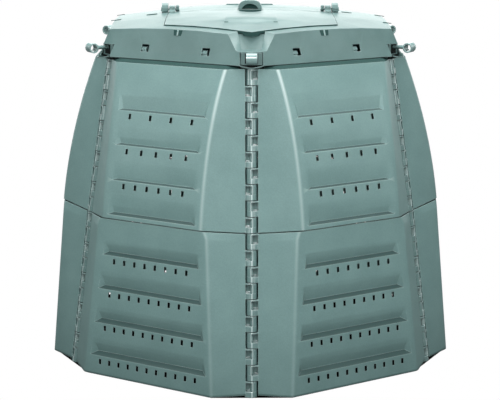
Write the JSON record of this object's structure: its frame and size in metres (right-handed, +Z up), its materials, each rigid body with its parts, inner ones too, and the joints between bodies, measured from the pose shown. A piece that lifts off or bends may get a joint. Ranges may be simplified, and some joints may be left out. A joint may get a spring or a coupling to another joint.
{
  "type": "thermal compost bin",
  "caption": "Hexagonal louvred plastic compost bin with hinged side panels, a two-flap lid with a centre grip, and sliding corner locking pins.",
  "frame": {"origin": "middle of the bin's footprint, on the ground", "axes": "+Z up; -Y towards the hinge seam that faces the viewer in the picture; +X to the viewer's right, square to two of the side panels"},
  "size_m": [1.267, 1.3252, 1.1103],
  "materials": {
    "panel_plastic": "satin moulded grey-green recycled plastic",
    "rod_plastic": "satin moulded grey-green plastic",
    "lid_plastic": "satin moulded pale grey-green plastic",
    "pin_plastic": "satin moulded grey-green plastic"
  },
  "bodies": {
    "bin": {"lower_panel_1": "panel_plastic", "lower_panel_2": "panel_plastic", "lower_panel_3": "panel_plastic", "lower_panel_4": "panel_plastic", "lower_panel_5": "panel_plastic", "lower_panel_6": "panel_plastic", "upper_panel_1": "panel_plastic", "upper_panel_2": "panel_plastic", "upper_panel_3": "panel_plastic", "upper_panel_4": "panel_plastic", "upper_panel_5": "panel_plastic", "upper_panel_6": "panel_plastic", "lower_rod_1": "rod_plastic", "lower_rod_2": "rod_plastic", "lower_rod_3": "rod_plastic", "lower_rod_4": "rod_plastic", "lower_rod_5": "rod_plastic", "lower_rod_6": "rod_plastic", "upper_rod_1": "rod_plastic", "upper_rod_2": "rod_plastic", "upper_rod_3": "rod_plastic", "upper_rod_4": "rod_plastic", "upper_rod_5": "rod_plastic", "upper_rod_6": "rod_plastic", "lid_frame": "lid_plastic", "centre_grip": "lid_plastic", "flap_pin_left": "pin_plastic", "flap_pin_right": "pin_plastic"},
    "front_flap_body": {"front_flap": "lid_plastic"},
    "rear_flap_body": {"rear_flap": "lid_plastic"},
    "locking_pin_1_body": {"locking_pin_1": "pin_plastic"},
    "locking_pin_2_body": {"locking_pin_2": "pin_plastic"},
    "locking_pin_3_body": {"locking_pin_3": "pin_plastic"},
    "locking_pin_4_body": {"locking_pin_4": "pin_plastic"},
    "locking_pin_5_body": {"locking_pin_5": "pin_plastic"},
    "locking_pin_6_body": {"locking_pin_6": "pin_plastic"}
  },
  "joints": [
    {"name": "front_flap_hinge", "type": "hinge", "parent": "bin", "child": "front_flap_body", "pos_m": [0, 0, 1.0803], "axis": [-1, 0, 0], "range_deg": [0, 88]},
    {"name": "rear_flap_hinge", "type": "hinge", "parent": "bin", "child": "rear_flap_body", "pos_m": [0, 0, 1.0803], "axis": [1, 0, 0], "range_deg": [0, 88]},
    {"name": "locking_pin_1_slide", "type": "slide", "parent": "bin", "child": "locking_pin_1_body", "axis": [0, -1, 0], "range_m": [0, 0.034]},
    {"name": "locking_pin_2_slide", "type": "slide", "parent": "bin", "child": "locking_pin_2_body", "axis": [0.866, -0.5, 0], "range_m": [0, 0.034]},
    {"name": "locking_pin_3_slide", "type": "slide", "parent": "bin", "child": "locking_pin_3_body", "axis": [0.866, 0.5, 0], "range_m": [0, 0.034]},
    {"name": "locking_pin_4_slide", "type": "slide", "parent": "bin", "child": "locking_pin_4_body", "axis": [0, 1, 0], "range_m": [0, 0.034]},
    {"name": "locking_pin_5_slide", "type": "slide", "parent": "bin", "child": "locking_pin_5_body", "axis": [-0.866, 0.5, 0], "range_m": [0, 0.034]},
    {"name": "locking_pin_6_slide", "type": "slide", "parent": "bin", "child": "locking_pin_6_body", "axis": [-0.866, -0.5, 0], "range_m": [0, 0.034]}
  ]
}
